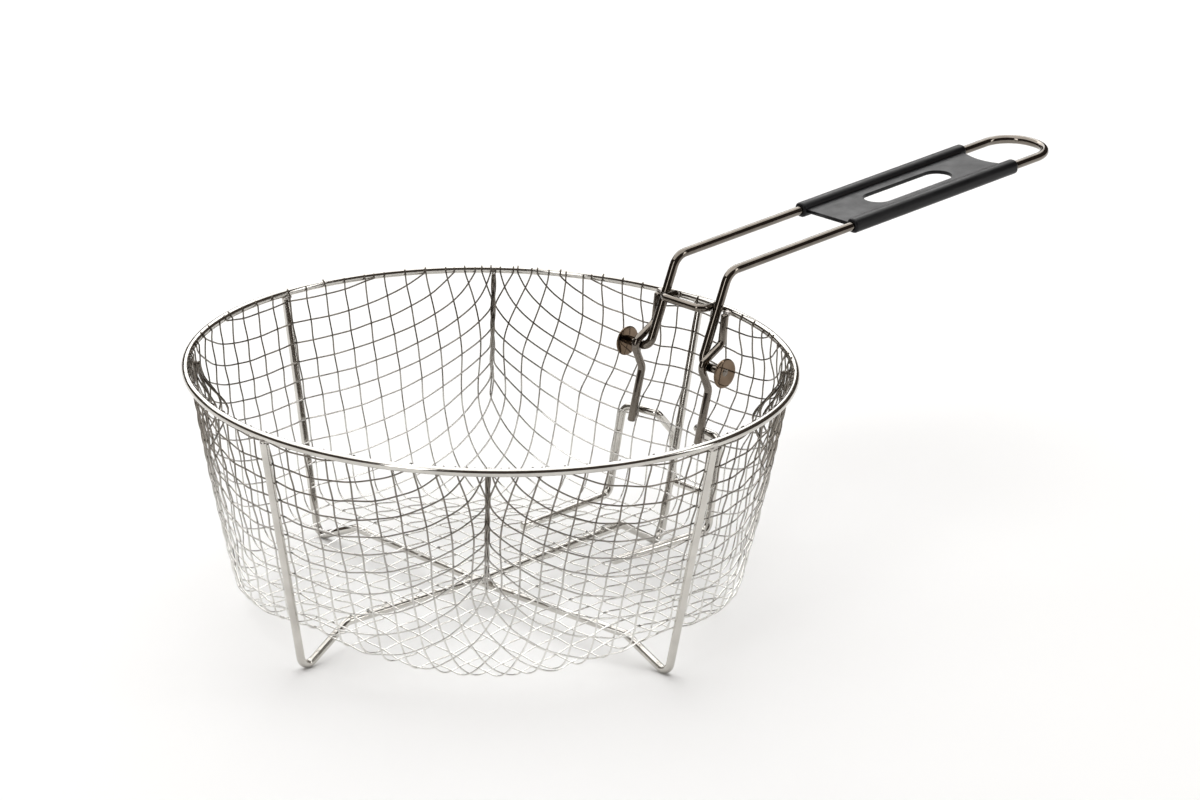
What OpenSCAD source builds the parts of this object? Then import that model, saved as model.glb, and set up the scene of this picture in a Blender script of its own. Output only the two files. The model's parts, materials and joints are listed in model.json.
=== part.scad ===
// Round wire-mesh frying basket with a folding, latching handle and a drain hook.
// The origin is on the basket's axis, on the surface that its feet stand on.
// +X points to the handle, +Z points up, and the left and right halves mirror in the XZ plane.

/* [Rim and mesh] */
// Diameter of the rim, to the middle of its wire
rim_d = 292; // [286:1:300]
// Height of the middle of the rim wire above the surface
rim_z = 123.1; // [118:0.1:128]
// Thickness of the rim wire
rim_wire_d = 4; // [3.5:0.1:4.2]
// Thickness of one strand of the mesh
mesh_bar = 0.9; // [0.7:0.1:1.2]
// Distance from one strand of the mesh to the next
mesh_pitch = 11.4; // [10:0.1:13]
// Radius of the mesh wall at its top
wall_top_r = 143.2; // [142:0.1:143.4]
// Radius of the mesh wall at its foot
wall_foot_r = 121.8; // [118:0.1:123]
// Height of the underside of the mesh floor
floor_z = 18.6; // [18:0.1:20]

/* [Cross wires] */
// Thickness of the two cross wires that make the legs
leg_wire_d = 4; // [3.5:0.1:4.2]
// Distance from the axis to a foot's bend
foot_r = 121.6; // [119:0.1:123]
// Distance from the axis to the knee where a cross wire levels out
knee_r = 93.6; // [85:0.1:100]
// How far each cross wire dips from its knees to the middle
cross_dip = 2.6; // [1:0.1:3]

/* [Handle] */
// Thickness of the handle wire, which also makes the pivot pins
handle_wire_d = 4.6; // [4.2:0.1:4.8]
// Distance between the middles of the handle's two wires
handle_gauge = 35.6; // [35.4:0.1:35.8]
// Distance from the axis to the pivot pins
pivot_x = 129.2; // [128.6:0.1:129.4]
// Height of the pivot pins
pivot_z = 97.4; // [97:0.1:98.4]
// Distance from the axis to the handle's elbow
elbow_x = 147.5; // [147:0.1:147.6]
// Height of the handle's elbow
elbow_z = 141.8; // [141.8:0.1:144]
// Rise of the straight part of the handle, in degrees
handle_rise = 2.6; // [0:0.1:6]
// Length from the elbow to the middle of the end loop's wire
handle_reach = 255.9; // [254:0.1:263]
// Length of the plastic grip
grip_length = 128; // [110:1:132]
// Distance from the elbow to the near end of the grip
grip_start = 91.5; // [85:0.5:95]
// Width of the finger slot in the grip
grip_slot_w = 15.5; // [10:0.1:16]
// Length of the finger slot in the grip
grip_slot_length = 62; // [50:1:80]
// Diameter of the discs on the pivot pins
disc_d = 15.2; // [13:0.1:15.4]

/* [Bracket, latch and hook] */
// Thickness of the bracket, latch and hook wires
small_wire_d = 4; // [3.6:0.1:4]
// Distance between the middles of the two bracket wires
bracket_gauge = 45.8; // [45.8:0.1:47]
// How far the latch loop reaches in from the rim
latch_reach = 14; // [12:0.1:16]
// Distance between the upright wires of the drain hook
hook_width = 67; // [64:0.1:72]
// Height of the drain hook's top bar
hook_z = 63; // [58:0.1:66]
// Width of the drain hook's tongue
tongue_width = 26.6; // [24:0.1:28]
// Height of the lowest bar of the drain hook's tongue
tongue_z = 23; // [20:0.1:30]

/* [Hidden] */
$fn = 40;
wire_silver = "silver";
mesh_silver = "lightgray";
disc_brown = "rosybrown";
grip_black = "dimgray";

rim_r = rim_d / 2;
panel_count = 24;
panel_angle = 360 / panel_count;
panel_cells = 3;
mesh_t = 0.7;              // a flat strand's thickness, so that it weighs what a round strand does
panel_gap = 0.1;           // half of the play between neighbouring panels
wall_foot_z = floor_z + 1.9;
wall_top_z = rim_z - 3.5;
// height and radius of the wall: plainly conical, but drawn in behind the drain hook,
// and on both sides of it bulged behind the pivot discs
wall_foot = [wall_foot_z, wall_foot_r];
wall_top = [wall_top_z, wall_top_r];
wall_waist = [hook_z + 1.5, wall_foot_r + 7.6];
cone_profile = [wall_foot, wall_top];
middle_profile = [wall_foot, wall_waist, wall_top];
bulge_profile = [wall_foot, wall_waist, [pivot_z - 9.4, wall_top_r - 0.3], wall_top + [0, 2]];
floor_r = wall_foot_r - 1;

leg_r = leg_wire_d / 2;
foot_bend = 5;
knee_bend = 6;
middle_bend = 60;
leg_top_z = rim_z - rim_wire_d / 2 - 0.2;
run_z = floor_z - leg_r - 0.2;
side_run_z = run_z - leg_wire_d - 0.1;

handle_y = handle_gauge / 2;
pin_r = handle_wire_d / 2;
pin_end_y = 34.4;
pin_bend = 5;
elbow_bend = 9;
tip_bend = 17;
disc_t = 1.2;
disc_y = pin_end_y - disc_t - 0.3;
disc_drop = 0.7;           // how far a disc's middle hangs below its pin
disc_shift = 0.28;         // how far it lies outwards of its pin
fit_play = 0.05;           // radial play of the discs and the grip on the handle wire

bracket_y = bracket_gauge / 2;
small_r = small_wire_d / 2;
apex_gap = 0.35;
apex_bend = pin_r + small_r + apex_gap;
apex_rise = 28;            // slope of the bracket's upper arm, in degrees
apex_fall = -65;           // slope of its lower arm
apex_half = (apex_rise - apex_fall) / 2;
apex_lean = (apex_rise + apex_fall) / 2;
upper_arm = 17.2;          // length from the bracket's apex to the bend above it
lower_arm = 15.4;          // and to the bend below it
bracket_top = [rim_r - 5.9, rim_z - 0.5];
bracket_foot = [122.6, 58];
apex_x = pivot_x - apex_bend / sin(apex_half) * cos(apex_lean);
apex_z = pivot_z - apex_bend / sin(apex_half) * sin(apex_lean);
latch_y = handle_y - pin_r - 0.4 - small_r;
latch_root_x = rim_r - rim_wire_d / 2 - 0.9;

hook_y = hook_width / 2;
tongue_y = tongue_width / 2;
hook_root_x = 55;          // where the hook's wires start under the mesh floor
hook_foot_x = 119.6;
hook_head_x = 127.8;
tongue_root_x = 131.7;
tongue_x = 143.5;
tongue_foot_x = 144.2;
tongue_drop = 13;          // how far the tongue falls while it leans away from the mesh

grip_end = grip_start + grip_length;
rail_w = 7.2;
rail_h = 7.6;
rail_corner = 3;
web_t = 2;
web_start_inset = 1.5;
web_end_inset = 4;
web_lap = 1;               // how far the web runs into each rail
hollow_r = 28;             // the web's hollowed far end
hollow_x = 22;

lap = 0.15;                // how far a wire's straight runs into the bend beside it
bend_slim = 0.03;          // how much thinner a bend's radius is, so that it ends inside the straight

// ---- wire bending ----

function unit(v) = v / norm(v);
function turn(a, b) = acos(max(-1, min(1, unit(a) * unit(b))));
function xyz(p) = [p[0], p[1], p[2]];
// length that a bend of radius r takes off each straight beside it
function setback(p, q, s) = q[3] * tan(turn(xyz(q) - xyz(p), xyz(s) - xyz(q)) / 2);

// A round bar from a to b
module bar(a, b, d) {
  v = b - a;
  translate(a)
    rotate([0, acos(v[2] / norm(v)), atan2(v[1], v[0])])
      cylinder(d = d, h = norm(v));
}

// The bend at q, on the way from p to s
module bend(p, q, s, d) {
  u = unit(xyz(q) - xyz(p));
  w = unit(xyz(s) - xyz(q));
  n = unit(cross(u, w));
  inward = cross(n, u);
  c = xyz(q) - u * setback(p, q, s) + inward * q[3];
  multmatrix([
    [-inward[0], u[0], n[0], c[0]],
    [-inward[1], u[1], n[1], c[1]],
    [-inward[2], u[2], n[2], c[2]]
  ])
    rotate_extrude(angle = turn(u, w))
      translate([q[3], 0])
        circle(d = d - 2 * bend_slim);
}

// One bent wire along the points [x, y, z, bend radius]
module bent_wire(path, d) {
  last = len(path) - 1;
  back = [for (i = [0:last])
    (i == 0 || i == last) ? 0 : setback(path[i - 1], path[i], path[i + 1])];
  for (i = [0:last - 1]) {
    a = xyz(path[i]);
    b = xyz(path[i + 1]);
    along = unit(b - a);
    start = i == 0 ? 0 : back[i] - lap;
    stop = i == last - 1 ? 0 : back[i + 1] - lap;
    bar(a + along * start, b - along * stop, d);
  }
  for (i = [1:last - 1])
    bend(path[i - 1], path[i], path[i + 1], d);
}

// A path followed by its mirror image in the XZ plane, in reverse
function mirrored(path) = concat(path, [for (i = [len(path) - 1:-1:0])
  [path[i][0], -path[i][1], path[i][2], path[i][3]]]);

// ---- mesh ----

// One flat panel of mesh that spans half_low at its foot and half_high at its head
module mesh_panel(half_low, half_high, height) {
  rows = round(height / mesh_pitch);
  wide = function (v) (half_low + (half_high - half_low) * v / height - panel_gap) * 2;
  side = function (i, v) wide(v) * (i / panel_cells - 0.5);
  linear_extrude(mesh_t)
    difference() {
      polygon([
        [side(0, 0), 0], [side(panel_cells, 0), 0],
        [side(panel_cells, height), height], [side(0, height), height]
      ]);
      for (j = [0:rows - 1], i = [0:panel_cells - 1]) {
        low = height * j / rows + mesh_bar / 2;
        high = height * (j + 1) / rows - mesh_bar / 2;
        polygon([
          [side(i, low) + mesh_bar / 2, low], [side(i + 1, low) - mesh_bar / 2, low],
          [side(i + 1, high) - mesh_bar / 2, high], [side(i, high) + mesh_bar / 2, high]
        ]);
      }
    }
}

// The panels of one azimuth, stacked along a profile of [height, radius]
module wall_panels(azimuth, profile) {
  for (k = [0:len(profile) - 2]) {
    low = profile[k];
    high = profile[k + 1];
    rise = high[0] - low[0];
    lean = (high[1] - low[1]) * cos(panel_angle / 2);
    slant = norm([rise, lean]);
    step = k == 0 ? 0 : mesh_t / 2;
    rotate([0, 0, azimuth])
      translate([low[1] * cos(panel_angle / 2), 0, low[0]])
        rotate([0, atan2(lean, rise), 0])
          translate([-mesh_t / 2, 0, step])
            rotate([90, 0, 90])
              mesh_panel(low[1] * sin(panel_angle / 2), high[1] * sin(panel_angle / 2), slant - step);
  }
}

module mesh_floor() {
  cells = ceil(floor_r / mesh_pitch);
  hole = mesh_pitch - mesh_bar;
  color(mesh_silver)
    translate([0, 0, floor_z])
      linear_extrude(mesh_t)
        difference() {
          circle(r = floor_r, $fn = 96);
          intersection() {
            circle(r = floor_r - mesh_bar, $fn = 96);
            for (i = [-cells:cells - 1], j = [-cells:cells - 1])
              translate([(i + 0.5) * mesh_pitch, (j + 0.5) * mesh_pitch])
                square(hole, center = true);
          }
        }
}

module mesh_wall() {
  color(mesh_silver)
    for (k = [2:panel_count - 2])
      wall_panels(k * panel_angle, cone_profile);
}

module mesh_wall_handle_side() {
  color(mesh_silver) {
    wall_panels(0, middle_profile);
    wall_panels(panel_angle, bulge_profile);
    wall_panels(-panel_angle, bulge_profile);
  }
}

// ---- basket wires ----

module rim_wire() {
  color(wire_silver)
    translate([0, 0, rim_z])
      rotate_extrude($fn = 128)
        translate([rim_r, 0])
          circle(d = rim_wire_d);
}

// How far the bend at a foot lies above the corner of the straights beside it
function foot_lift(leg, shin) =
  let (half = (180 - turn(leg, shin)) / 2, mid = unit(unit(leg) + unit(shin)))
  foot_bend * (mid[2] / cos(half) - 1);

// One wire that makes two opposite legs and the run between them
module cross_wire(level) {
  top = [rim_r + 0.3, 0, leg_top_z];
  knee = [knee_r, 0, level];
  about = [foot_r, 0, 0];
  foot_z = leg_r - foot_lift(top - about, knee - about);
  half = [
    [top[0], 0, top[2], 0],
    [foot_r, 0, foot_z, foot_bend],
    [knee[0], 0, knee[2], knee_bend]
  ];
  middle = [[0, 0, level - cross_dip, middle_bend]];
  other = [for (i = [len(half) - 1:-1:0]) [-half[i][0], 0, half[i][2], half[i][3]]];
  bent_wire(concat(half, middle, other), leg_wire_d);
}

module cross_wire_long() {
  color(wire_silver)
    cross_wire(run_z);
}

module cross_wire_side() {
  color(wire_silver)
    rotate([0, 0, 90])
      cross_wire(side_run_z);
}

// ---- handle side ----

// A wire that bulges inwards round a pivot pin and holds it against the mesh
module pivot_bracket(y) {
  bent_wire([
    [bracket_top[0], y, bracket_top[1], 0],
    [apex_x + upper_arm * cos(apex_rise), y, apex_z + upper_arm * sin(apex_rise), 4],
    [apex_x, y, apex_z, apex_bend],
    [apex_x + lower_arm * cos(apex_fall), y, apex_z + lower_arm * sin(apex_fall), 5],
    [bracket_foot[0], y, bracket_foot[1], 0]
  ], small_wire_d);
}

module pivot_bracket_left() {
  color(wire_silver)
    pivot_bracket(bracket_y);
}

module pivot_bracket_right() {
  color(wire_silver)
    pivot_bracket(-bracket_y);
}

// A loop that the handle's two wires snap over when the handle is up
module latch_loop() {
  color(wire_silver)
    bent_wire(mirrored([
      [latch_root_x, latch_y, rim_z + 0.4, 0],
      [rim_r - latch_reach, latch_y, rim_z + 1.6, 4]
    ]), small_wire_d);
}

// A wire outside the mesh whose tongue hangs over the edge of a pot
module drain_hook() {
  color(wire_silver)
    bent_wire(mirrored([
      [hook_root_x, hook_y - 2, run_z, 0],
      [hook_foot_x, hook_y + 1, run_z, 5],
      [hook_head_x, hook_y, hook_z, 6],
      [tongue_root_x, tongue_y, hook_z - 0.5, 3],
      [tongue_x, tongue_y, hook_z - tongue_drop, 6],
      [tongue_foot_x, tongue_y, tongue_z, 4]
    ]), small_wire_d);
}

// ---- handle ----

// Places things in the handle's own frame: X along its straight part, from the elbow
module along_handle() {
  translate([elbow_x, 0, elbow_z])
    rotate([0, -handle_rise, 0])
      children();
}

module handle_wire() {
  tip_x = elbow_x + handle_reach * cos(handle_rise);
  tip_z = elbow_z + handle_reach * sin(handle_rise);
  color(wire_silver)
    bent_wire(mirrored([
      [pivot_x, pin_end_y, pivot_z, 0],
      [pivot_x, handle_y, pivot_z, pin_bend],
      [elbow_x, handle_y, elbow_z, elbow_bend],
      [tip_x, handle_y, tip_z, tip_bend]
    ]), handle_wire_d);
}

// Cross-section of one rail of the grip
module rail_section() {
  square([rail_w - 2 * rail_corner, rail_h], center = true);
  square([rail_w, rail_h - 2 * rail_corner], center = true);
  for (a = [-1, 1], b = [-1, 1])
    translate([a * (rail_w / 2 - rail_corner), b * (rail_h / 2 - rail_corner)])
      circle(r = rail_corner);
}

// Outline of the grip's web, with its finger slot and its hollowed far end
module web_outline() {
  web_w = handle_gauge - rail_w + 2 * web_lap;
  slot_x = grip_start + grip_length / 2;
  reach = (grip_slot_length - grip_slot_w) / 2;
  difference() {
    translate([grip_start + web_start_inset, -web_w / 2])
      square([grip_length - web_start_inset - web_end_inset, web_w]);
    translate([grip_end + hollow_x, 0])
      circle(r = hollow_r, $fn = 80);
    for (a = [-1, 1])
      translate([slot_x + a * reach, 0])
        circle(d = grip_slot_w);
    translate([slot_x, 0])
      square([2 * reach, grip_slot_w], center = true);
  }
}

module grip() {
  color(grip_black)
    along_handle()
      difference() {
        union() {
          translate([0, 0, -web_t / 2])
            linear_extrude(web_t)
              web_outline();
          for (a = [-1, 1])
            translate([grip_start, a * handle_y, 0])
              rotate([90, 0, 90])
                linear_extrude(grip_length)
                  rail_section();
        }
        for (a = [-1, 1])
          translate([grip_start - 1, a * handle_y, 0])
            rotate([0, 90, 0])
              cylinder(r = pin_r + fit_play, h = grip_length + 2);
      }
}

// The disc that keeps a pivot pin in its bracket
module pivot_disc(y) {
  translate([pivot_x + disc_shift, y, pivot_z - disc_drop])
    rotate([90, 0, 0])
      difference() {
        cylinder(d = disc_d, h = disc_t, center = true);
        translate([-disc_shift, disc_drop, 0])
          cylinder(r = pin_r + fit_play, h = disc_t + 1, center = true);
      }
}

module pivot_disc_left() {
  color(disc_brown)
    pivot_disc(disc_y + disc_t / 2);
}

module pivot_disc_right() {
  color(disc_brown)
    pivot_disc(-disc_y - disc_t / 2);
}

mesh_floor();
mesh_wall();
mesh_wall_handle_side();
rim_wire();
cross_wire_long();
cross_wire_side();
pivot_bracket_left();
pivot_bracket_right();
latch_loop();
drain_hook();
handle_wire();
grip();
pivot_disc_left();
pivot_disc_right();
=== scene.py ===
"""Round wire-mesh frying basket: woven wire cloth, bent-wire frame, folding handle with a moulded grip."""

import json
import math

import bpy
import numpy as np
from mathutils import Matrix, Vector


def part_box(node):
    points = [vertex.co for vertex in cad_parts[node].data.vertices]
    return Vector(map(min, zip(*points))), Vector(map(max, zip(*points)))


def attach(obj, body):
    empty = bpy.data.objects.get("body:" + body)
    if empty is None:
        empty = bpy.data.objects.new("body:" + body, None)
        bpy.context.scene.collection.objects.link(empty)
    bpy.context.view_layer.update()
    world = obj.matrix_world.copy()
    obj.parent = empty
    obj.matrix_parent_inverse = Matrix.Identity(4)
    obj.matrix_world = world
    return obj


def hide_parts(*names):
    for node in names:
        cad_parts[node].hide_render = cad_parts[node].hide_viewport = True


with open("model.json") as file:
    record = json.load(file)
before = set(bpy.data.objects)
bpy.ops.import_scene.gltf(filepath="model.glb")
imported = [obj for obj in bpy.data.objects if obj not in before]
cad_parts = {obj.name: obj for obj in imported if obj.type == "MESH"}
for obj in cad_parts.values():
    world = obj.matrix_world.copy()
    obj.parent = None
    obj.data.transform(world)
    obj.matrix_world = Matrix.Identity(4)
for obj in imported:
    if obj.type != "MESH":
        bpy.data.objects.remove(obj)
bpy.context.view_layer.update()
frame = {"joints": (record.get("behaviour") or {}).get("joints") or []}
MM = 0.001
rng = np.random.default_rng(11)


def node_box(name):
    low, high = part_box(name)
    return np.array(low) / MM, np.array(high) / MM


# ---- camera: made first, at the photograph's viewing angle ----

AZ, EL, ROLL = -0.80485, 0.34625, 0.02296
RIGHT = Vector((math.cos(AZ), math.sin(AZ), 0))
AHEAD = Vector((-math.sin(AZ) * math.cos(EL), math.cos(AZ) * math.cos(EL), -math.sin(EL)))
UP = RIGHT.cross(AHEAD)
cam_x = RIGHT * math.cos(ROLL) + UP * math.sin(ROLL)
cam_y = UP * math.cos(ROLL) - RIGHT * math.sin(ROLL)
aim = Vector((0, 0, 0.060)) + RIGHT * 0.0526 + UP * 0.0438
camera_data = bpy.data.cameras.new("camera")
camera_data.lens = 146.37
camera_data.sensor_width = 36
camera_data.clip_end = 50
camera = bpy.data.objects.new("camera", camera_data)
bpy.context.scene.collection.objects.link(camera)
turned = Matrix((cam_x, cam_y, -AHEAD)).transposed()
camera.matrix_world = Matrix.Translation(aim - AHEAD * 2.3593) @ turned.to_4x4()
bpy.context.scene.camera = camera


# ---- materials ----

def new_material(name):
    m = bpy.data.materials.new(name)
    m.use_nodes = True
    return m, m.node_tree.nodes, m.node_tree.links, m.node_tree.nodes["Principled BSDF"]


def noise(nodes, links, scale, detail=3.0, rough=0.5):
    coord = nodes.new("ShaderNodeTexCoord")
    tex = nodes.new("ShaderNodeTexNoise")
    tex.inputs["Scale"].default_value = scale
    tex.inputs["Detail"].default_value = detail
    tex.inputs["Roughness"].default_value = rough
    links.new(coord.outputs["Object"], tex.inputs["Vector"])
    return tex


def spread(nodes, links, source, low, high, start=0.3, end=0.7):
    """Maps the source's range from start to end onto low to high."""
    r = nodes.new("ShaderNodeMapRange")
    r.inputs["From Min"].default_value = start
    r.inputs["From Max"].default_value = end
    r.inputs["To Min"].default_value = low
    r.inputs["To Max"].default_value = high
    links.new(source, r.inputs["Value"])
    return r.outputs["Result"]


def tint(nodes, links, source, stops):
    """A colour ramp through stops of (position, colour)."""
    ramp = nodes.new("ShaderNodeValToRGB")
    e = ramp.color_ramp.elements
    e[0].position, e[0].color = stops[0][0], (*stops[0][1], 1)
    e[1].position, e[1].color = stops[1][0], (*stops[1][1], 1)
    for pos, col in stops[2:]:
        e.new(pos).color = (*col, 1)
    links.new(source, ramp.inputs["Fac"])
    return ramp.outputs["Color"]


def bump(nodes, links, shader, source, strength, distance):
    b = nodes.new("ShaderNodeBump")
    b.inputs["Strength"].default_value = strength
    b.inputs["Distance"].default_value = distance
    links.new(source, b.inputs["Height"])
    links.new(b.outputs["Normal"], shader.inputs["Normal"])


DARK_REFLECTION_FROM, DARK_REFLECTION_TO = 0.035, 0.095  # heights between which the mesh turns browner: a painted dark reflection on the upper strands


def plated(name, dark, light, rough_low, rough_high, grain=900, depth=0.00002, painted_reflection=None):
    """Polished plating with a faint grain, which turns with height to a darker given colour, if there is
    one: a painted dark reflection on the higher wires.
    """
    m, nodes, links, shader = new_material(name)
    shader.inputs["Metallic"].default_value = 1.0
    cloud = noise(nodes, links, 60, 4, 0.6)
    fine = noise(nodes, links, grain, 3, 0.6)
    colour = tint(nodes, links, cloud.outputs["Fac"], ((0.35, dark), (0.65, light)))
    # painted dark reflection: the colour darkens with height, standing in for the dark surroundings that the
    # higher wires reflect
    if painted_reflection:
        coord = nodes.new("ShaderNodeTexCoord")
        split = nodes.new("ShaderNodeSeparateXYZ")
        links.new(coord.outputs["Object"], split.inputs["Vector"])
        mix = nodes.new("ShaderNodeMix")
        mix.data_type = "RGBA"
        links.new(spread(nodes, links, split.outputs["Z"], 0, 1, DARK_REFLECTION_FROM, DARK_REFLECTION_TO), mix.inputs["Factor"])
        links.new(colour, mix.inputs["A"])
        mix.inputs["B"].default_value = (*painted_reflection, 1)
        colour = mix.outputs["Result"]
    links.new(colour, shader.inputs["Base Color"])
    links.new(spread(nodes, links, fine.outputs["Fac"], rough_low, rough_high), shader.inputs["Roughness"])
    bump(nodes, links, shader, fine.outputs["Fac"], 0.25, depth)
    return m


wire_finish = plated("plated_wire", (0.54, 0.52, 0.485), (0.66, 0.64, 0.60), 0.08, 0.17)
# painted dark reflection: a darker copy of the wire plating, for the handle, brackets and latch, standing in
# for the dark surroundings they reflect
painted_dark_plating = plated("handle_plating_painted_dark", (0.15, 0.132, 0.112), (0.22, 0.195, 0.168), 0.05, 0.11)
# the woven wire turns browner higher up: painted dark reflection, standing in for the dark surroundings the
# upper strands reflect
mesh_plating_with_painted_reflection = plated(
    "woven_wire", (0.74, 0.73, 0.70), (0.86, 0.85, 0.82), 0.12, 0.22, 1400, painted_reflection=(0.20, 0.18, 0.155)
)
# painted dark reflection: the discs get a darker copy of the plating, standing in for the dark surroundings
# they reflect
disc_painted_dark_plating = plated("disc_plating", (0.13, 0.092, 0.062), (0.21, 0.155, 0.11), 0.05, 0.12, 500, 0.00001)
weld_finish = plated("weld_metal", (0.46, 0.43, 0.40), (0.66, 0.63, 0.60), 0.25, 0.45, 1600, 0.00006)

grip_finish, nodes, links, shader = new_material("black_grip")
cloud = noise(nodes, links, 90, 4, 0.6).outputs["Fac"]
fine = noise(nodes, links, 2600, 2, 0.5).outputs["Fac"]
blacks = ((0.3, (0.004, 0.004, 0.005)), (0.7, (0.009, 0.009, 0.010)))
links.new(tint(nodes, links, cloud, blacks), shader.inputs["Base Color"])
links.new(spread(nodes, links, cloud, 0.30, 0.44), shader.inputs["Roughness"])
shader.inputs["Specular IOR Level"].default_value = 0.22
bump(nodes, links, shader, fine, 0.3, 0.00004)


# ---- mesh building, in millimetres ----

class Shape:
    """Vertices and faces gathered from several parts."""

    def __init__(self):
        self.v, self.f = [], []
        self.count = 0

    def add(self, verts, faces):
        self.v.append(np.asarray(verts, float))
        self.f.extend([tuple(i + self.count for i in face) for face in faces])
        self.count += len(verts)
        return self

    def piece(self, name, body, material, stands_for=(), slot=None):
        """Makes the object, which rides a body and stands for CAD nodes."""
        mesh = bpy.data.meshes.new(name)
        mesh.from_pydata((np.vstack(self.v) * MM).tolist(), [], self.f)
        mesh.validate()
        mesh.shade_smooth()
        mesh.materials.append(material)
        o = bpy.data.objects.new(name, mesh)
        bpy.context.scene.collection.objects.link(o)
        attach(o, body)
        if stands_for:
            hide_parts(*stands_for)
        return o


def unit(v):
    return v / max(np.linalg.norm(v), 1e-9)


def bent(points, step=9.0):
    """Centre line of a wire bent along [x, y, z, bend radius]."""
    P = [np.array(p[:3], float) for p in points]
    line = [P[0]]
    for i in range(1, len(P) - 1):
        u, w = unit(P[i] - P[i - 1]), unit(P[i + 1] - P[i])
        turn = math.acos(max(-1, min(1, float(u @ w))))
        r = points[i][3]
        if turn < 1e-3 or r == 0:
            line.append(P[i])
            continue
        inward = np.cross(unit(np.cross(u, w)), u)
        first = P[i] - u * r * math.tan(turn / 2)
        centre = first + inward * r
        n = max(3, int(math.degrees(turn) / step))
        for k in range(n + 1):
            a = turn * k / n
            line.append(centre - inward * r * math.cos(a) + u * r * math.sin(a))
    line.append(P[-1])
    return np.array(line)


def mirrored(points):
    """A half path on the left, and its mirror image back on the right."""
    return points + [[p[0], -p[1], p[2], p[3]] for p in reversed(points)]


def tube(line, radius, sides=20, round_ends=True, closed=False):
    """A round bar swept along a line, with its cut ends rounded over."""
    line = np.asarray(line, float)
    radii = np.full(len(line), float(radius))
    if round_ends and not closed:
        a, b = unit(line[1] - line[0]), unit(line[-2] - line[-1])
        cuts = [(0.0, 0.62), (0.10, 0.84), (0.28, 0.96), (0.5, 1.0)]
        head = [line[0] + a * radius * c for c, _ in cuts]
        tail = [line[-1] + b * radius * c for c, _ in reversed(cuts)]
        line = np.vstack([head, line[1:-1], tail]) if len(line) > 2 else np.vstack([head, tail])
        inner = len(line) - 2 * len(cuts)
        shares = [s for _, s in cuts]
        radii = radius * np.array(shares + [1.0] * inner + shares[::-1])
    n = len(line)
    tangent = np.gradient(line, axis=0)
    if closed:
        tangent = np.roll(line, -1, 0) - np.roll(line, 1, 0)
    tangent /= np.linalg.norm(tangent, axis=1)[:, None]
    ref = np.array([0, 0, 1.0]) if abs(tangent[0][2]) < 0.9 else np.array([1.0, 0, 0])
    side = unit(np.cross(tangent[0], ref))
    angles = np.linspace(0, 2 * math.pi, sides, endpoint=False)
    verts = []
    for k in range(n):
        side = unit(side - tangent[k] * (side @ tangent[k]))
        other = np.cross(tangent[k], side)
        ring = line[k] + radii[k] * (np.cos(angles)[:, None] * side + np.sin(angles)[:, None] * other)
        verts.append(ring)
    faces = []
    rows = n if closed else n - 1
    for k in range(rows):
        a, b = k * sides, ((k + 1) % n) * sides
        for j in range(sides):
            m = (j + 1) % sides
            faces.append((a + j, a + m, b + m, b + j))
    if not closed:
        faces.append(tuple(reversed(range(sides))))
        faces.append(tuple((n - 1) * sides + j for j in range(sides)))
    return np.vstack(verts), faces


def nugget(centre, size, axes=None, seed=0, rings=9, sides=14):
    """A small uneven bead of weld metal."""
    local = np.random.default_rng(seed)
    wobble = local.normal(0, 0.07, (4, 3))
    centre, size = np.array(centre, float), np.array(size, float)
    axes = np.eye(3) if axes is None else np.array(axes, float)
    verts, faces = [], []
    for k in range(rings + 1):
        t = math.pi * k / rings
        for j in range(sides):
            f = 2 * math.pi * j / sides
            d = np.array([math.sin(t) * math.cos(f), math.sin(t) * math.sin(f), math.cos(t)])
            swell = 1 + sum(w @ d * math.sin((q + 2) * (d[q % 3] + 0.3 * q)) for q, w in enumerate(wobble))
            verts.append(centre + (d * size * swell) @ axes)
    for k in range(rings):
        for j in range(sides):
            m = (j + 1) % sides
            faces.append((k * sides + j, k * sides + m, (k + 1) * sides + m, (k + 1) * sides + j))
    return verts, faces


# ---- sizes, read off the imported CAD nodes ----

low, high = node_box("rim_wire")
rim_z = (low[2] + high[2]) / 2
rim_wire_r = (high[2] - low[2]) / 2
rim_r = high[0] - rim_wire_r
low, high = node_box("mesh_floor")
floor_z = (low[2] + high[2]) / 2
foot_r = high[0] + 0.6  # the wall's foot lies just outside the CAD floor's edge
pin = np.array(frame["joints"][0]["pos_m"]) / MM

MESH_R = 0.41  # radius of a strand
CRIMP = 0.40  # how far a strand swings to either side of the sheet
PITCH = 11.4  # from one strand to the next
top_z = rim_z - 3.5
top_r = rim_r - rim_wire_r - MESH_R - 0.25

# ---- the wire cloth ----
# One sheet of square-woven cloth pressed into a round pan. Its wires can't stretch, only shear at the
# crossings, so each crossing lies one pitch from its two neighbours on the pan's surface.

CORNER = 9.0  # radius between floor and wall
SAG = 8.0  # how far the floor's edge hangs at the diagonals
SAG_FROM, SAG_SHORT = 45, 35  # it starts this far out, and grows over the foot's distance less the second
CORNER_OUT = 2.2  # how much further out the wall's foot lies at the diagonals
WALL_SWELL = 0.9  # how far the wall swells at the diagonals
DISC_BULGE = 6.6  # room behind the pivot discs
AHEAD_CUT = 0.75  # share of that left out straight behind the handle
HOOK_WAIST = 1.4  # room for the drain hook
FOLD_FROM, FOLD_TO = 54.0, 114.0  # heights between which the sheet's slack grows
FOLD = 0.15  # the slack at the top, as a share of the girth


def smooth(t):
    """An even step from 0 to 1 as t goes from 0 to 1."""
    t = min(1.0, max(0.0, t))
    return t * t * (3 - 2 * t)


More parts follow.
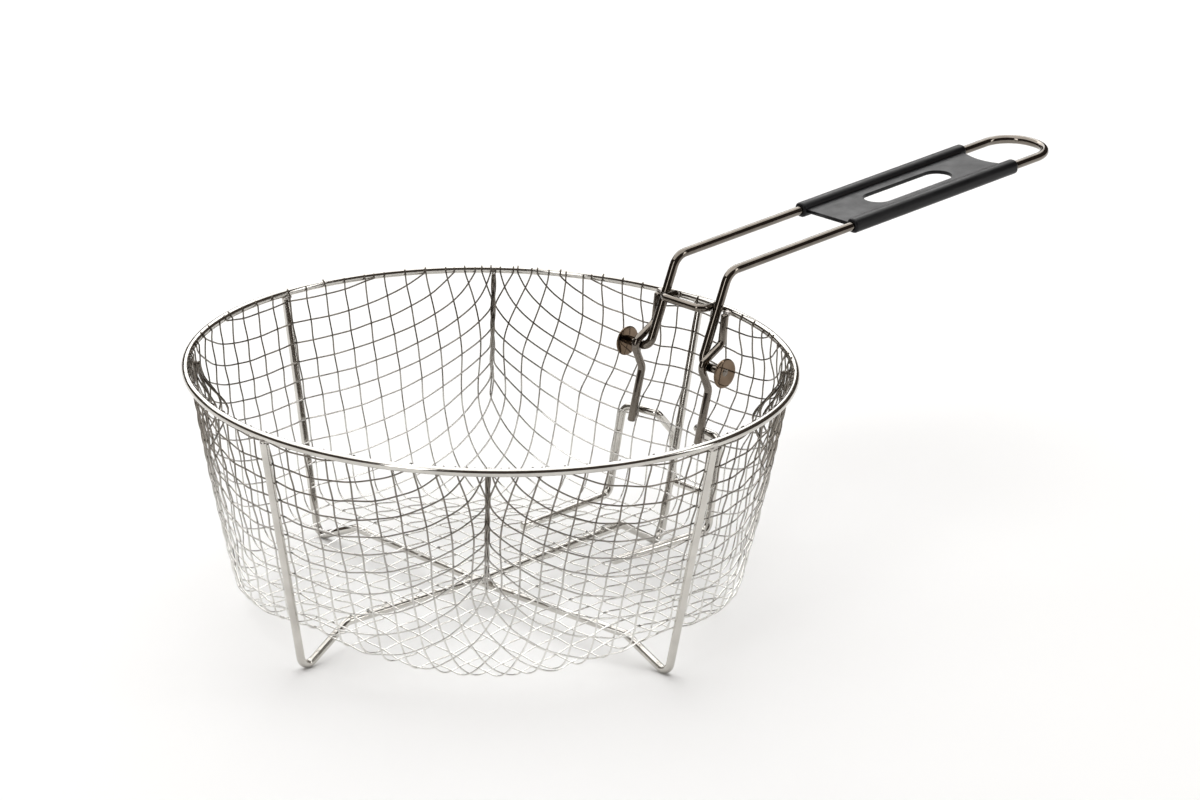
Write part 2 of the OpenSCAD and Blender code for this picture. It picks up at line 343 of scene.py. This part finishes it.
def pan(X, Y):
    """Azimuth, radius and height on the pan, at the distance hypot(X, Y) from its middle along the sheet."""
    s = math.hypot(X, Y)
    if s < 1e-9:
        return 0.0, 0.0, floor_z
    cf, sf = X / s, Y / s
    diagonal = abs(2 * cf * sf)
    sag = SAG * diagonal ** 1.2
    foot = foot_r - 0.5 + CORNER_OUT * diagonal ** 1.5
    side_way = smooth((cf - 0.80) / 0.13)
    edge_z = floor_z - sag
    rise, run = top_z - edge_z - CORNER, top_r - foot
    lean = math.atan2(rise, run)
    base_r = foot - CORNER * math.sin(lean)
    if s <= base_r:
        return math.atan2(Y, X), s, floor_z - sag * smooth((s - SAG_FROM) / (base_r - SAG_SHORT))
    over = s - base_r
    if over <= CORNER * lean:
        a = over / CORNER
        return math.atan2(Y, X), base_r + CORNER * math.sin(a), edge_z + CORNER * (1 - math.cos(a))
    over -= CORNER * lean
    r0 = base_r + CORNER * math.sin(lean)
    z0 = edge_z + CORNER * (1 - math.cos(lean))
    slant = math.hypot(top_r - r0, top_z - z0)
    t = over / slant
    if t <= 1:
        r, z = r0 + (top_r - r0) * t, z0 + (top_z - z0) * t
    else:
        r, z = top_r + 0.02 * (over - slant), top_z + over - slant
    swell = smooth((z - 62) / 24) * (1 - smooth((z - 96) / 26))
    waist = smooth((z - 25) / 30) * (1 - smooth((z - 64) / 12))
    ahead = 1 - AHEAD_CUT * (1 - smooth((abs(sf) - 0.07) / 0.10))
    r += side_way * (DISC_BULGE * ahead * swell - HOOK_WAIST * waist)
    r += WALL_SWELL * diagonal * math.sin(math.pi * min(1, max(0, (z - 20) / 100)))
    return math.atan2(Y, X), r, z


def slack(z):
    """The share by which the sheet is wider than the wall at this height."""
    return 1 + FOLD * smooth((z - FOLD_FROM) / (FOLD_TO - FOLD_FROM))


def spread_out(X, Y):
    """The sheet as if its slack were spread evenly round the wall, for measuring along it."""
    f, r, z = pan(X, Y)
    r *= slack(z)
    return np.array([r * math.cos(f), r * math.sin(f), z])


def surface(X, Y):
    """The sheet in place, with its slack gathered into one inward fold at each quarter's diagonal."""
    f, r, z = pan(X, Y)
    quarter = math.floor(f / (math.pi / 2)) * math.pi / 2
    g = f - quarter
    mirror = g > math.pi / 4
    g = math.pi / 2 - g if mirror else g
    g *= slack(z)
    deep = 0.0
    edge = math.pi / 4 - 0.5 / max(r, 1.0)
    if g > edge and slack(z) > 1:
        deep = (g - edge) * r * (1 - 0.75 * smooth((z - 98) / 20))
        g = edge
    g = math.pi / 2 - g if mirror else g
    f = quarter + g
    return np.array([(r - deep) * math.cos(f), (r - deep) * math.sin(f), z])


def place_node(a, b, guess):
    """The sheet position one pitch from the points a and b."""
    x = np.array(guess, float)
    for _ in range(30):
        p = spread_out(*x)
        f = np.array([(p - a) @ (p - a) - PITCH ** 2, (p - b) @ (p - b) - PITCH ** 2])
        if abs(f).max() < 1e-4:
            return x
        h = 0.02
        px, py = spread_out(x[0] + h, x[1]), spread_out(x[0], x[1] + h)
        J = np.array([
            [2 * (p - a) @ (px - p) / h, 2 * (p - a) @ (py - p) / h],
            [2 * (p - b) @ (px - p) / h, 2 * (p - b) @ (py - p) / h],
        ])
        det = np.linalg.det(J)
        if abs(det) < 1e-6:
            return None
        step = np.linalg.solve(J, -f)
        size = np.linalg.norm(step)
        x = x + step * min(1.0, 4.0 / max(size, 1e-9))
    return None


COUNT = 26  # more strands than reach the rim from the middle
LIMIT_Z = rim_z + 6
sheet = {}  # strand numbers (along X, along Y) to the crossing's place on the sheet
for sx, sy in ((1, 0), (-1, 0), (0, 1), (0, -1)):
    x = np.zeros(2)
    sheet[(0, 0)] = x
    for i in range(1, COUNT):
        here = spread_out(*x)
        t = PITCH
        for _ in range(12):
            p = spread_out(*(x + t * np.array([sx, sy])))
            t += (PITCH - np.linalg.norm(p - here))
        x = x + t * np.array([sx, sy])
        sheet[(i * sx, i * sy)] = x
        if spread_out(*x)[2] > LIMIT_Z:
            break
for sx in (1, -1):
    for sy in (1, -1):
        for total in range(2, 2 * COUNT):
            for i in range(1, total):
                j = total - i
                keys = [((i - 1) * sx, j * sy), (i * sx, (j - 1) * sy), ((i - 1) * sx, (j - 1) * sy)]
                if any(k not in sheet for k in keys):
                    continue
                A, B, C = (sheet[k] for k in keys)
                pa, pb = spread_out(*A), spread_out(*B)
                if pa[2] > LIMIT_Z and pb[2] > LIMIT_Z:
                    continue
                x = place_node(pa, pb, A + B - C)
                if x is not None and np.hypot(*x) > np.hypot(*C):
                    sheet[(i * sx, j * sy)] = x

heights = {k: pan(*x)[2] for k, x in sheet.items()}


WAVE = 0.10  # unevenness of the strands


def strand(keys, sign, per=5):
    """One wire of the cloth: over and under the wires that it crosses, up to the rim."""
    flat = np.array([sheet[k] for k in keys])
    flat = np.vstack([2 * flat[0] - flat[1], flat, 2 * flat[-1] - flat[-2]])
    line = []
    for i in range(len(keys)):
        lift = sign * (1 if sum(keys[i]) % 2 else -1) * CRIMP
        p0, p1, p2 = flat[i], flat[i + 1], flat[i + 2]
        p3 = flat[i + 3] if i + 3 < len(flat) else p2
        for q in range(per if i < len(keys) - 1 else 1):
            t = q / per
            x = 0.5 * (
                2 * p1 + (p2 - p0) * t + (2 * p0 - 5 * p1 + 4 * p2 - p3) * t * t
                + (3 * p1 - p0 - 3 * p2 + p3) * t ** 3
            )
            p = surface(*x)
            a, b = surface(x[0] + 0.2, x[1]) - p, surface(x[0], x[1] + 0.2) - p
            line.append(p + unit(np.cross(a, b)) * lift * math.cos(math.pi * t))
    line = np.array(line)
    line[1:-1] = 0.25 * line[:-2] + 0.5 * line[1:-1] + 0.25 * line[2:]
    wave = rng.normal(0, 1, (2, 3))
    phase = np.linspace(0, len(keys) * 0.35, len(line))[:, None]
    return line + WAVE * (wave[0] * np.sin(phase) + wave[1] * np.sin(2.3 * phase + 1))


def up_to_rim(line, end_z):
    """The part of a strand below end_z, cut exactly there."""
    for k in range(1, len(line)):
        if line[k][2] >= end_z:
            a, b = line[k - 1], line[k]
            t = (end_z - a[2]) / max(b[2] - a[2], 1e-6)
            return np.vstack([line[:k], a + (b - a) * t])
    return line


def wrap(end, turn_to):
    """Points that carry a strand's end over the rim wire, from its inner side."""
    f = math.atan2(end[1], end[0])
    out = []
    reach = rim_wire_r + 0.14
    for a in np.radians(np.arange(172, turn_to, -12)):
        r, z = rim_r + reach * math.cos(a), rim_z + reach * math.sin(a)
        out.append([r * math.cos(f), r * math.sin(f), z])
    return np.array(out)


# strands that end between the latch loop's roots and the bracket wires stop short of the rim
NEAR_X, NEAR_Y_FROM, NEAR_Y_TO = 120, 12.0, 24.0

cloth = Shape()
for along in (0, 1):
    for other in range(-COUNT, COUNT + 1):
        for way in (1, -1):
            keys = []
            for i in range(0, COUNT + 1):
                k = (i * way, other) if along == 0 else (other, i * way)
                if k not in sheet:
                    break
                keys.append(k)
                if heights[k] > LIMIT_Z:
                    break
            if len(keys) < 2:
                continue
            if heights[keys[0]] > rim_z - 1:
                continue
            line = strand(keys, 1 if along == 0 else -1)
            reached = line[:, 2].max() >= rim_z - 1.2
            near_handle = line[-1][0] > NEAR_X and NEAR_Y_FROM < abs(line[-1][1]) < NEAR_Y_TO
            line = up_to_rim(line, rim_z - (2.8 if near_handle else 0.6))
            in_fold = math.hypot(line[-1][0], line[-1][1]) < top_r - 1.2
            if reached and not near_handle and not in_fold:
                line = np.vstack([line, wrap(line[-1], rng.uniform(96, 140))])
            verts, faces = tube(line, MESH_R, sides=6, round_ends=False)
            cloth.add(verts, faces)
cloth.piece(
    "woven_mesh", "basket", mesh_plating_with_painted_reflection,
    ("mesh_floor", "mesh_wall", "mesh_wall_handle_side"), "mesh_wire",
)

# ---- basket wires ----

RING_SIDES = 180
angles = np.linspace(0, 2 * math.pi, RING_SIDES, endpoint=False)
ring = np.column_stack([rim_r * np.cos(angles), rim_r * np.sin(angles), np.full(RING_SIDES, rim_z)])
rim = Shape().add(*tube(ring, rim_wire_r, 24, closed=True))
rim.piece("rim_ring", "basket", wire_finish, ("rim_wire",), "plated_wire")

LEG_R = 2.0  # radius of every wire of the basket but the rim
FOOT_X, FOOT_BEND = 121.6, 5
KNEE_X, KNEE_BEND = 93.6, 6
MIDDLE_DIP, MIDDLE_BEND = 2.6, 60
RUN_Z = (16.4, 12.3)  # heights of the long and the side wire's level runs


def cross_wire(node, axis):
    top = [rim_r + 0.3, 0, rim_z - rim_wire_r - 0.2]
    knee = [KNEE_X, 0, RUN_Z[axis]]
    leg, shin = np.array(top) - [FOOT_X, 0, 0], np.array(knee) - [FOOT_X, 0, 0]
    half = math.acos(float(unit(leg) @ unit(shin))) / 2
    mid = unit(unit(leg) + unit(shin))
    lift = FOOT_BEND * (mid[2] / math.sin(half) - 1)  # the bend rounds the corner off by this much
    half_path = [[*top, 0], [FOOT_X, 0, LEG_R - lift + 0.03, FOOT_BEND], [*knee, KNEE_BEND]]
    middle = [[0, 0, RUN_Z[axis] - MIDDLE_DIP, MIDDLE_BEND]]
    line = bent(half_path + middle + [[-p[0], p[1], p[2], p[3]] for p in reversed(half_path)])
    if axis == 1:
        line = np.column_stack([-line[:, 1], line[:, 0], line[:, 2]])
    wire = Shape().add(*tube(line, LEG_R, 20))
    wire.piece(node.replace("cross_wire", "leg_wire"), "basket", wire_finish, (node,), "plated_wire")


cross_wire("cross_wire_long", 0)
cross_wire("cross_wire_side", 1)

HANDLE_R = 2.3
HANDLE_Y = 17.8  # the handle's wires lie this far from the middle plane
BRACKET_Y = 22.9
APEX_BEND = HANDLE_R + LEG_R + 0.35
UPPER_ARM, LOWER_ARM = 17.2, 15.4
rise_a, fall_a = math.radians(28), math.radians(-65)
half_a, lean_a = (rise_a - fall_a) / 2, (rise_a + fall_a) / 2
apex_x = pin[0] - APEX_BEND / math.sin(half_a) * math.cos(lean_a)
apex_z = pin[2] - APEX_BEND / math.sin(half_a) * math.sin(lean_a)
for side, y in (("left", BRACKET_Y), ("right", -BRACKET_Y)):
    path = [
        [rim_r - 5.9, y, rim_z - 0.5, 0],
        [apex_x + UPPER_ARM * math.cos(rise_a), y, apex_z + UPPER_ARM * math.sin(rise_a), 4],
        [apex_x, y, apex_z, APEX_BEND],
        [apex_x + LOWER_ARM * math.cos(fall_a), y, apex_z + LOWER_ARM * math.sin(fall_a), 5],
        [122.6, y, 58, 0],
    ]
    bracket = Shape().add(*tube(bent(path, 6), LEG_R, 20))
    bracket.piece(
        "bracket_wire_" + side, "basket", painted_dark_plating, ("pivot_bracket_" + side,), "plated_wire"
    )

latch_y = HANDLE_Y - HANDLE_R - 0.4 - LEG_R
path = mirrored([
    [rim_r - rim_wire_r - 0.9, latch_y, rim_z + 0.4, 0], [rim_r - 14, latch_y, rim_z + 1.6, 4],
])
latch = Shape().add(*tube(bent(path, 8), LEG_R, 20))
latch.piece("latch_wire", "basket", painted_dark_plating, ("latch_loop",), "plated_wire")

# from under the floor, up outside the wall, across and down the tongue: x, y, z, bend
path = mirrored([
    [55, 31.5, 16.4, 0], [119.6, 34.5, 16.4, 5], [127.8, 33.5, 63, 6], [131.7, 13.3, 62.5, 3],
    [143.5, 13.3, 50, 6], [144.2, 13.3, 23, 4],
])
hook = Shape().add(*tube(bent(path, 8), LEG_R, 20))
hook.piece("hook_wire", "basket", wire_finish, ("drain_hook",), "plated_wire")

# ---- weld beads where the wires meet ----

welds = Shape()
for k in range(4):
    f = k * math.pi / 2
    out, along = np.array([math.cos(f), math.sin(f), 0]), np.array([-math.sin(f), math.cos(f), 0])
    top = out * (rim_r - 0.6) + [0, 0, rim_z - rim_wire_r - 0.3]
    welds.add(*nugget(top, [1.9, 3.0, 1.2], (out, along, (0, 0, 1)), seed=k))
for k, y in enumerate((BRACKET_Y, -BRACKET_Y)):
    side_x = math.sqrt(rim_r ** 2 - y ** 2)
    welds.add(*nugget([side_x - 2.6, y, rim_z - 0.3], [1.5, 2.3, 1.7], seed=10 + k))
    welds.add(*nugget([125.3, y, 61.0], [2.0, 2.2, 2.4], seed=20 + k))
for k, y in enumerate((latch_y, -latch_y)):
    side_x = math.sqrt(rim_r ** 2 - y ** 2)
    welds.add(*nugget([side_x - 2.3, y, rim_z + 0.2], [1.4, 2.3, 1.5], seed=30 + k))
welds.add(*nugget([0, 0, 12.2], [2.9, 2.9, 1.5], seed=40))
welds.piece("weld_beads", "basket", weld_finish, (), "plated_wire")

# ---- handle ----

RISE = math.radians(2.6)
ELBOW = np.array([147.5, 0, 141.8])
REACH = 255.9  # from the elbow to the tip's wire
PIN_END_Y = 34.4
PIN_BEND, ELBOW_BEND, TIP_BEND = 5, 9, 17
ALONG = np.array([math.cos(RISE), 0, math.sin(RISE)])
OVER = np.array([-math.sin(RISE), 0, math.cos(RISE)])
tip = ELBOW + ALONG * REACH
path = mirrored([
    [pin[0], PIN_END_Y, pin[2], 0], [pin[0], HANDLE_Y, pin[2], PIN_BEND],
    [ELBOW[0], HANDLE_Y, ELBOW[2], ELBOW_BEND], [tip[0], HANDLE_Y, tip[2], TIP_BEND],
])
rod = Shape().add(*tube(bent(path, 6), HANDLE_R, 24))
rod.piece("handle_rod", "handle", painted_dark_plating, ("handle_wire",), "plated_wire")


def lathe(profile, axis_point, axis, sides=56):
    """A closed profile of [along, radius] turned about an axis."""
    axis = unit(np.array(axis, float))
    a = unit(np.cross(axis, [0, 0, 1.0]))
    b = np.cross(axis, a)
    verts, faces = [], []
    n = len(profile)
    for k in range(sides):
        f = 2 * math.pi * k / sides
        for d, r in profile:
            verts.append(np.array(axis_point) + axis * d + (a * math.cos(f) + b * math.sin(f)) * r)
    for k in range(sides):
        m = (k + 1) % sides
        for j in range(n - 1):
            faces.append((k * n + j, m * n + j, m * n + j + 1, k * n + j + 1))
    return verts, faces


for side, way in (("left", 1), ("right", -1)):
    low, high = node_box("pivot_disc_" + side)
    mid = (low + high) / 2
    half_t, R = (high[1] - low[1]) / 2, (high[0] - low[0]) / 2
    profile = [
        (-half_t, 0.3), (-half_t, R - 0.45), (-half_t + 0.12, R - 0.18), (-half_t + 0.4, R),
        (half_t - 0.55, R), (half_t - 0.22, R - 0.16), (half_t - 0.06, R - 0.55),
        (half_t - 0.02, R - 1.4), (half_t, R - 3.0), (half_t, 0.3),
    ]
    disc = Shape().add(*lathe(profile, mid, (0, way, 0)))
    disc.piece("disc_" + side, "handle", disc_painted_dark_plating, ("pivot_disc_" + side,), "disc_plating")

# the grip: two rails round the wires and a web with a finger slot
GRIP_START, GRIP_LENGTH = 91.5, 128.0
RAIL_W, RAIL_H, RAIL_CORNER = 7.2, 7.6, 3.0
WEB_T = 2.0
SLOT_W, SLOT_LENGTH = 15.5, 62


def rail_ring(x, inset, y):
    """The rail's rounded outline at x, drawn in by inset."""
    ring = []
    for qa, qb, start in ((1, 1, 0), (-1, 1, 90), (-1, -1, 180), (1, -1, 270)):
        for a in range(0, 91, 15):
            f = math.radians(start + a)
            c = max(RAIL_CORNER - inset, 0.4)
            across = qa * (RAIL_W / 2 - RAIL_CORNER) + c * math.cos(f)
            up = qb * (RAIL_H / 2 - RAIL_CORNER) + c * math.sin(f)
            ring.append([x, y + across, up])
    return ring


def rail(y):
    """One rail of the grip, with a shallow hole for the wire at each end."""
    verts, faces = [], []
    stations = [(0, 1.1), (0.12, 0.75), (0.4, 0.32), (0.9, 0.06), (1.6, 0)]
    grip_end = GRIP_START + GRIP_LENGTH
    xs = [(GRIP_START + d, i) for d, i in stations] + [(grip_end - d, i) for d, i in reversed(stations)]
    rings = [rail_ring(x, i, y) for x, i in xs]
    n = len(rings[0])
    hole = HANDLE_R + 0.1
    turns = [2 * math.pi * k / n for k in range(n)]
    start = [[xs[0][0], y + hole * math.cos(f), hole * math.sin(f)] for f in turns]
    deep = [[p[0] + 2.0, p[1], p[2]] for p in start]
    end = [[xs[-1][0], p[1], p[2]] for p in start]
    far = [[p[0] - 2.0, p[1], p[2]] for p in end]
    rings = [deep, start] + rings + [end, far]
    for r in rings:
        verts.extend(r)
    for k in range(len(rings) - 1):
        for j in range(n):
            m = (j + 1) % n
            faces.append((k * n + j, k * n + m, (k + 1) * n + m, (k + 1) * n + j))
    return verts, faces


def seat(verts):
    """Puts points of the handle's own frame, with X along its straight part, in the basket's frame."""
    v = np.asarray(verts, float)
    return ELBOW + v[:, :1] * ALONG + v[:, 1:2] * np.array([0, 1.0, 0]) + v[:, 2:3] * OVER


rails = Shape()
for y in (HANDLE_Y, -HANDLE_Y):
    verts, faces = rail(y)
    rails.add(seat(verts), faces)
rails.piece("grip_rails", "handle", grip_finish, ("grip",), "black_grip")


def web_curve():
    """The web between the rails: square at its near end, hollowed at its far end, with a finger slot."""
    curve = bpy.data.curves.new("web_outline", "CURVE")
    curve.dimensions = "2D"
    curve.fill_mode = "BOTH"
    bevel = 0.35
    curve.extrude = (WEB_T / 2 - bevel) * MM
    curve.bevel_depth = bevel * MM
    curve.bevel_resolution = 3
    half_w = (2 * HANDLE_Y - RAIL_W + 2) / 2
    x0, x1 = GRIP_START + 1.5 + bevel, GRIP_START + GRIP_LENGTH - 4 - bevel
    cx, cr = GRIP_START + GRIP_LENGTH + 22, 28 + bevel
    reach = math.asin((half_w) / cr)
    arc = [(cx - cr * math.cos(a), cr * math.sin(a)) for a in np.linspace(-reach, reach, 33)]
    outline = [(x0, -half_w)] + [(min(x, x1), y) for x, y in arc] + [(x0, half_w)]
    sx, sr = GRIP_START + GRIP_LENGTH / 2, SLOT_W / 2 + bevel
    sl = (SLOT_LENGTH - SLOT_W) / 2
    half_turn = np.linspace(-math.pi / 2, math.pi / 2, 25)
    slot_line = [(sx + sl + sr * math.cos(a), sr * math.sin(a)) for a in half_turn]
    slot_line += [(sx - sl - sr * math.cos(a), -sr * math.sin(a)) for a in half_turn]
    for loop in (outline, slot_line):
        s = curve.splines.new("POLY")
        s.points.add(len(loop) - 1)
        for p, (x, y) in zip(s.points, loop):
            p.co = (x * MM, y * MM, 0, 1)
        s.use_cyclic_u = True
    o = bpy.data.objects.new("web_outline", curve)
    bpy.context.scene.collection.objects.link(o)
    bpy.context.view_layer.update()
    mesh = bpy.data.meshes.new_from_object(o.evaluated_get(bpy.context.evaluated_depsgraph_get()))
    verts = np.array([v.co for v in mesh.vertices]) / MM
    faces = [tuple(p.vertices) for p in mesh.polygons]
    bpy.data.objects.remove(o)
    bpy.data.meshes.remove(mesh)
    return verts, faces


verts, faces = web_curve()
web = Shape().add(seat(verts), faces).piece("grip_web", "handle", grip_finish, (), "black_grip")
for p in web.data.polygons:
    p.use_smooth = abs(p.normal @ Vector(OVER.tolist())) < 0.98

# ---- floor, light ----

floor_finish, nodes, links, shader = new_material("pale_floor")
cloud = noise(nodes, links, 3, 2).outputs["Fac"]
whites = ((0.3, (0.90, 0.90, 0.895)), (0.7, (0.92, 0.92, 0.915)))
links.new(tint(nodes, links, cloud, whites), shader.inputs["Base Color"])
shader.inputs["Roughness"].default_value = 0.8
mesh = bpy.data.meshes.new("floor")
mesh.from_pydata([(-7, -7, 0), (7, -7, 0), (7, 7, 0), (-7, 7, 0)], [], [(0, 1, 2, 3)])
mesh.materials.append(floor_finish)
floor = bpy.data.objects.new("floor", mesh)
bpy.context.scene.collection.objects.link(floor)


def softbox(name, at, to, size, power):
    data = bpy.data.lights.new(name, "AREA")
    data.shape = "RECTANGLE"
    data.size, data.size_y = size
    data.energy = power
    o = bpy.data.objects.new(name, data)
    bpy.context.scene.collection.objects.link(o)
    o.location = at
    o.rotation_euler = (Vector(to) - Vector(at)).to_track_quat("-Z", "Y").to_euler()


softbox("light_top", (0.4, 0.8, 2.5), (0, 0, 0), (4.6, 4.6), 128)
softbox("light_left", (-2.2, -0.6, 1.2), (0, 0, 0.05), (0.6, 1.8), 12)
softbox("light_right", (1.5, -2.0, 1.1), (0.1, 0, 0.05), (0.4, 1.6), 7)
softbox("light_back", (1.6, 2.4, 1.6), (0.1, 0, 0.1), (2.6, 1.2), 24)

world = bpy.data.worlds.new("studio")
bpy.context.scene.world = world
world.use_nodes = True
world.node_tree.nodes["Background"].inputs["Color"].default_value = (0.11, 0.09, 0.075, 1)
world.node_tree.nodes["Background"].inputs["Strength"].default_value = 0.6

view = bpy.context.scene.view_settings
view.view_transform = "Standard"
view.look = "None"
view.exposure = 0.0
